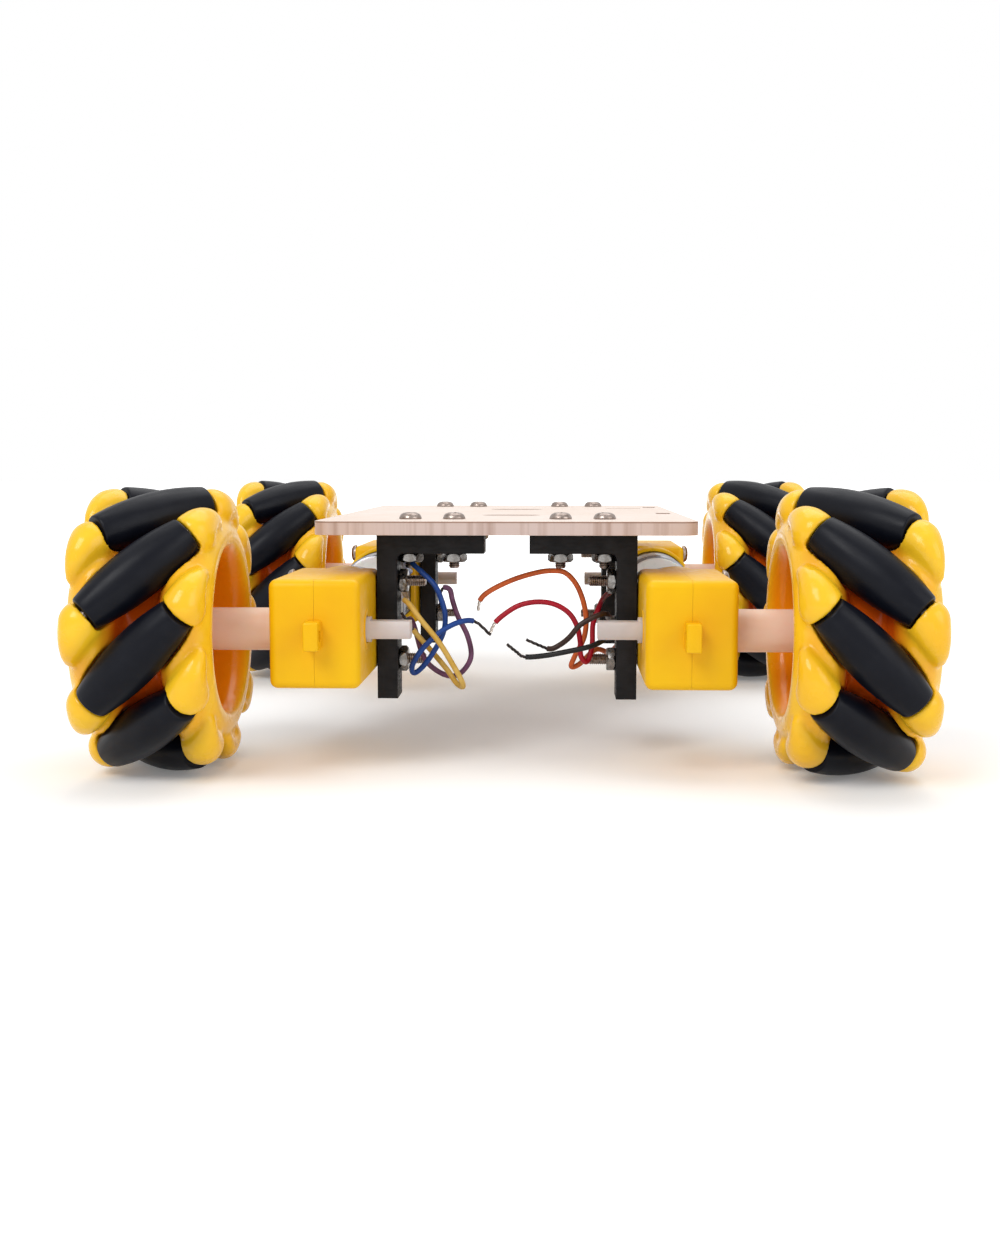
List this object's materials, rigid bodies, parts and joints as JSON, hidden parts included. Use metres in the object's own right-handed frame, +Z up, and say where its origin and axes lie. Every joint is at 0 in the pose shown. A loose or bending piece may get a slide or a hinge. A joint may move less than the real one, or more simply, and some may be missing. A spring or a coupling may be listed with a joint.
{
  "type": "mecanum wheel robot",
  "caption": "Flat-deck rolling robot chassis on angle brackets, with gear motors outside them, lobed mecanum wheels with slanted free rollers, and loose motor leads.",
  "frame": {"origin": "on the floor, midway between the four wheels", "axes": "+Z up, -Y the front, X across the wheels along the axles"},
  "size_m": [0.1728, 0.2078, 0.0598],
  "materials": {
    "deck": "satin laser-cut sheet, pale tan",
    "bracket": "black layered print",
    "gearbox": "satin moulded yellow",
    "motor": "bare steel can",
    "hub": "glossy moulded golden yellow",
    "roller": "satin slate-black",
    "wire_yellow": "soft sheath",
    "wire_purple": "soft sheath",
    "wire_blue": "soft sheath",
    "wire_red": "soft sheath",
    "wire_brown": "soft sheath",
    "wire_orange": "soft sheath",
    "wire_black": "soft sheath"
  },
  "bodies": {
    "chassis": {"deck": "deck", "bracket_front_left": "bracket", "gearbox_front_left": "gearbox", "motor_front_left": "motor", "bracket_front_right": "bracket", "gearbox_front_right": "gearbox", "motor_front_right": "motor", "bracket_rear_left": "bracket", "gearbox_rear_left": "gearbox", "motor_rear_left": "motor", "bracket_rear_right": "bracket", "gearbox_rear_right": "gearbox", "motor_rear_right": "motor", "wire_yellow": "wire_yellow", "wire_purple": "wire_purple", "wire_blue": "wire_blue", "wire_red": "wire_red", "wire_brown": "wire_brown", "wire_orange": "wire_orange", "wire_black": "wire_black"},
    "wheel_front_left": {"hub_front_left": "hub"},
    "roller_front_left_1": {"roller_front_left_1": "roller"},
    "roller_front_left_2": {"roller_front_left_2": "roller"},
    "roller_front_left_3": {"roller_front_left_3": "roller"},
    "roller_front_left_4": {"roller_front_left_4": "roller"},
    "roller_front_left_5": {"roller_front_left_5": "roller"},
    "roller_front_left_6": {"roller_front_left_6": "roller"},
    "roller_front_left_7": {"roller_front_left_7": "roller"},
    "roller_front_left_8": {"roller_front_left_8": "roller"},
    "roller_front_left_9": {"roller_front_left_9": "roller"},
    "wheel_front_right": {"hub_front_right": "hub"},
    "roller_front_right_1": {"roller_front_right_1": "roller"},
    "roller_front_right_2": {"roller_front_right_2": "roller"},
    "roller_front_right_3": {"roller_front_right_3": "roller"},
    "roller_front_right_4": {"roller_front_right_4": "roller"},
    "roller_front_right_5": {"roller_front_right_5": "roller"},
    "roller_front_right_6": {"roller_front_right_6": "roller"},
    "roller_front_right_7": {"roller_front_right_7": "roller"},
    "roller_front_right_8": {"roller_front_right_8": "roller"},
    "roller_front_right_9": {"roller_front_right_9": "roller"},
    "wheel_rear_left": {"hub_rear_left": "hub"},
    "roller_rear_left_1": {"roller_rear_left_1": "roller"},
    "roller_rear_left_2": {"roller_rear_left_2": "roller"},
    "roller_rear_left_3": {"roller_rear_left_3": "roller"},
    "roller_rear_left_4": {"roller_rear_left_4": "roller"},
    "roller_rear_left_5": {"roller_rear_left_5": "roller"},
    "roller_rear_left_6": {"roller_rear_left_6": "roller"},
    "roller_rear_left_7": {"roller_rear_left_7": "roller"},
    "roller_rear_left_8": {"roller_rear_left_8": "roller"},
    "roller_rear_left_9": {"roller_rear_left_9": "roller"},
    "wheel_rear_right": {"hub_rear_right": "hub"},
    "roller_rear_right_1": {"roller_rear_right_1": "roller"},
    "roller_rear_right_2": {"roller_rear_right_2": "roller"},
    "roller_rear_right_3": {"roller_rear_right_3": "roller"},
    "roller_rear_right_4": {"roller_rear_right_4": "roller"},
    "roller_rear_right_5": {"roller_rear_right_5": "roller"},
    "roller_rear_right_6": {"roller_rear_right_6": "roller"},
    "roller_rear_right_7": {"roller_rear_right_7": "roller"},
    "roller_rear_right_8": {"roller_rear_right_8": "roller"},
    "roller_rear_right_9": {"roller_rear_right_9": "roller"}
  },
  "joints": [
    {"name": "wheel_front_left_spin", "type": "hinge", "parent": "chassis", "child": "wheel_front_left", "pos_m": [-0.0719, -0.074, 0.03], "axis": [1, 0, 0], "continuous": true},
    {"name": "wheel_front_right_spin", "type": "hinge", "parent": "chassis", "child": "wheel_front_right", "pos_m": [0.0719, -0.074, 0.03], "axis": [1, 0, 0], "continuous": true},
    {"name": "wheel_rear_left_spin", "type": "hinge", "parent": "chassis", "child": "wheel_rear_left", "pos_m": [-0.0719, 0.074, 0.03], "axis": [1, 0, 0], "continuous": true},
    {"name": "wheel_rear_right_spin", "type": "hinge", "parent": "chassis", "child": "wheel_rear_right", "pos_m": [0.0719, 0.074, 0.03], "axis": [1, 0, 0], "continuous": true},
    {"name": "roller_front_left_1_spin", "type": "hinge", "parent": "wheel_front_left", "child": "roller_front_left_1", "pos_m": [-0.0719, -0.08163, 0.05349], "axis": [0.7071, 0.6725, 0.2185], "continuous": true},
    {"name": "roller_front_left_2_spin", "type": "hinge", "parent": "wheel_front_left", "child": "roller_front_left_2", "pos_m": [-0.0719, -0.09495, 0.04309], "axis": [0.7071, 0.3747, 0.5997], "continuous": true},
    {"name": "roller_front_left_3_spin", "type": "hinge", "parent": "wheel_front_left", "child": "roller_front_left_3", "pos_m": [-0.0719, -0.09846, 0.02656], "axis": [0.7071, -0.0984, 0.7002], "continuous": true},
    {"name": "roller_front_left_4_spin", "type": "hinge", "parent": "wheel_front_left", "child": "roller_front_left_4", "pos_m": [-0.0719, -0.09053, 0.01164], "axis": [0.7071, -0.5255, 0.4731], "continuous": true},
    {"name": "roller_front_left_5_spin", "type": "hinge", "parent": "wheel_front_left", "child": "roller_front_left_5", "pos_m": [-0.0719, -0.07486, 0.00532], "axis": [0.7071, -0.7067, 0.0247], "continuous": true},
    {"name": "roller_front_left_6_spin", "type": "hinge", "parent": "wheel_front_left", "child": "roller_front_left_6", "pos_m": [-0.0719, -0.05879, 0.01054], "axis": [0.7071, -0.5572, -0.4353], "continuous": true},
    {"name": "roller_front_left_7_spin", "type": "hinge", "parent": "wheel_front_left", "child": "roller_front_left_7", "pos_m": [-0.0719, -0.04984, 0.02486], "axis": [0.7071, -0.147, -0.6917], "continuous": true},
    {"name": "roller_front_left_8_spin", "type": "hinge", "parent": "wheel_front_left", "child": "roller_front_left_8", "pos_m": [-0.0719, -0.05219, 0.0416], "axis": [0.7071, 0.332, -0.6243], "continuous": true},
    {"name": "roller_front_left_9_spin", "type": "hinge", "parent": "wheel_front_left", "child": "roller_front_left_9", "pos_m": [-0.0719, -0.06475, 0.0529], "axis": [0.7071, 0.6556, -0.2649], "continuous": true},
    {"name": "roller_front_right_1_spin", "type": "hinge", "parent": "wheel_front_right", "child": "roller_front_right_1", "pos_m": [0.0719, -0.08081, 0.05374], "axis": [-0.7071, 0.6797, 0.1949], "continuous": true},
    {"name": "roller_front_right_2_spin", "type": "hinge", "parent": "wheel_front_right", "child": "roller_front_right_2", "pos_m": [0.0719, -0.09448, 0.04381], "axis": [-0.7071, 0.3954, 0.5862], "continuous": true},
    {"name": "roller_front_right_3_spin", "type": "hinge", "parent": "wheel_front_right", "child": "roller_front_right_3", "pos_m": [0.0719, -0.09856, 0.02742], "axis": [-0.7071, -0.0739, 0.7032], "continuous": true},
    {"name": "roller_front_right_4_spin", "type": "hinge", "parent": "wheel_front_right", "child": "roller_front_right_4", "pos_m": [0.0719, -0.09116, 0.01223], "axis": [-0.7071, -0.5087, 0.4912], "continuous": true},
    {"name": "roller_front_right_5_spin", "type": "hinge", "parent": "wheel_front_right", "child": "roller_front_right_5", "pos_m": [0.0719, -0.07572, 0.00536], "axis": [-0.7071, -0.7054, 0.0493], "continuous": true},
    {"name": "roller_front_right_6_spin", "type": "hinge", "parent": "wheel_front_right", "child": "roller_front_right_6", "pos_m": [0.0719, -0.05948, 0.01002], "axis": [-0.7071, -0.5721, -0.4156], "continuous": true},
    {"name": "roller_front_right_7_spin", "type": "hinge", "parent": "wheel_front_right", "child": "roller_front_right_7", "pos_m": [0.0719, -0.05003, 0.02402], "axis": [-0.7071, -0.1711, -0.6861], "continuous": true},
    {"name": "roller_front_right_8_spin", "type": "hinge", "parent": "wheel_front_right", "child": "roller_front_right_8", "pos_m": [0.0719, -0.0518, 0.04083], "axis": [-0.7071, 0.31, -0.6355], "continuous": true},
    {"name": "roller_front_right_9_spin", "type": "hinge", "parent": "wheel_front_right", "child": "roller_front_right_9", "pos_m": [0.0719, -0.06395, 0.05256], "axis": [-0.7071, 0.646, -0.2876], "continuous": true},
    {"name": "roller_rear_left_1_spin", "type": "hinge", "parent": "wheel_rear_left", "child": "roller_rear_left_1", "pos_m": [-0.0719, 0.06637, 0.05349], "axis": [0.7071, 0.6725, 0.2185], "continuous": true},
    {"name": "roller_rear_left_2_spin", "type": "hinge", "parent": "wheel_rear_left", "child": "roller_rear_left_2", "pos_m": [-0.0719, 0.05305, 0.04309], "axis": [0.7071, 0.3747, 0.5997], "continuous": true},
    {"name": "roller_rear_left_3_spin", "type": "hinge", "parent": "wheel_rear_left", "child": "roller_rear_left_3", "pos_m": [-0.0719, 0.04954, 0.02656], "axis": [0.7071, -0.0984, 0.7002], "continuous": true},
    {"name": "roller_rear_left_4_spin", "type": "hinge", "parent": "wheel_rear_left", "child": "roller_rear_left_4", "pos_m": [-0.0719, 0.05747, 0.01164], "axis": [0.7071, -0.5255, 0.4731], "continuous": true},
    {"name": "roller_rear_left_5_spin", "type": "hinge", "parent": "wheel_rear_left", "child": "roller_rear_left_5", "pos_m": [-0.0719, 0.07314, 0.00532], "axis": [0.7071, -0.7067, 0.0247], "continuous": true},
    {"name": "roller_rear_left_6_spin", "type": "hinge", "parent": "wheel_rear_left", "child": "roller_rear_left_6", "pos_m": [-0.0719, 0.08921, 0.01054], "axis": [0.7071, -0.5572, -0.4353], "continuous": true},
    {"name": "roller_rear_left_7_spin", "type": "hinge", "parent": "wheel_rear_left", "child": "roller_rear_left_7", "pos_m": [-0.0719, 0.09816, 0.02486], "axis": [0.7071, -0.147, -0.6917], "continuous": true},
    {"name": "roller_rear_left_8_spin", "type": "hinge", "parent": "wheel_rear_left", "child": "roller_rear_left_8", "pos_m": [-0.0719, 0.09581, 0.0416], "axis": [0.7071, 0.332, -0.6243], "continuous": true},
    {"name": "roller_rear_left_9_spin", "type": "hinge", "parent": "wheel_rear_left", "child": "roller_rear_left_9", "pos_m": [-0.0719, 0.08325, 0.0529], "axis": [0.7071, 0.6556, -0.2649], "continuous": true},
    {"name": "roller_rear_right_1_spin", "type": "hinge", "parent": "wheel_rear_right", "child": "roller_rear_right_1", "pos_m": [0.0719, 0.06761, 0.05386], "axis": [-0.7071, 0.683, 0.183], "continuous": true},
    {"name": "roller_rear_right_2_spin", "type": "hinge", "parent": "wheel_rear_right", "child": "roller_rear_right_2", "pos_m": [0.0719, 0.05377, 0.04417], "axis": [-0.7071, 0.4056, 0.5792], "continuous": true},
    {"name": "roller_rear_right_3_spin", "type": "hinge", "parent": "wheel_rear_right", "child": "roller_rear_right_3", "pos_m": [0.0719, 0.04939, 0.02785], "axis": [-0.7071, -0.0616, 0.7044], "continuous": true},
    {"name": "roller_rear_right_4_spin", "type": "hinge", "parent": "wheel_rear_right", "child": "roller_rear_right_4", "pos_m": [0.0719, 0.05653, 0.01253], "axis": [-0.7071, -0.5, 0.5], "continuous": true},
    {"name": "roller_rear_right_5_spin", "type": "hinge", "parent": "wheel_rear_right", "child": "roller_rear_right_5", "pos_m": [0.0719, 0.07185, 0.00539], "axis": [-0.7071, -0.7044, 0.0616], "continuous": true},
    {"name": "roller_rear_right_6_spin", "type": "hinge", "parent": "wheel_rear_right", "child": "roller_rear_right_6", "pos_m": [0.0719, 0.08817, 0.00977], "axis": [-0.7071, -0.5792, -0.4056], "continuous": true},
    {"name": "roller_rear_right_7_spin", "type": "hinge", "parent": "wheel_rear_right", "child": "roller_rear_right_7", "pos_m": [0.0719, 0.09786, 0.02361], "axis": [-0.7071, -0.183, -0.683], "continuous": true},
    {"name": "roller_rear_right_8_spin", "type": "hinge", "parent": "wheel_rear_right", "child": "roller_rear_right_8", "pos_m": [0.0719, 0.09639, 0.04044], "axis": [-0.7071, 0.2988, -0.6409], "continuous": true},
    {"name": "roller_rear_right_9_spin", "type": "hinge", "parent": "wheel_rear_right", "child": "roller_rear_right_9", "pos_m": [0.0719, 0.08444, 0.05239], "axis": [-0.7071, 0.6409, -0.2988], "continuous": true}
  ]
}
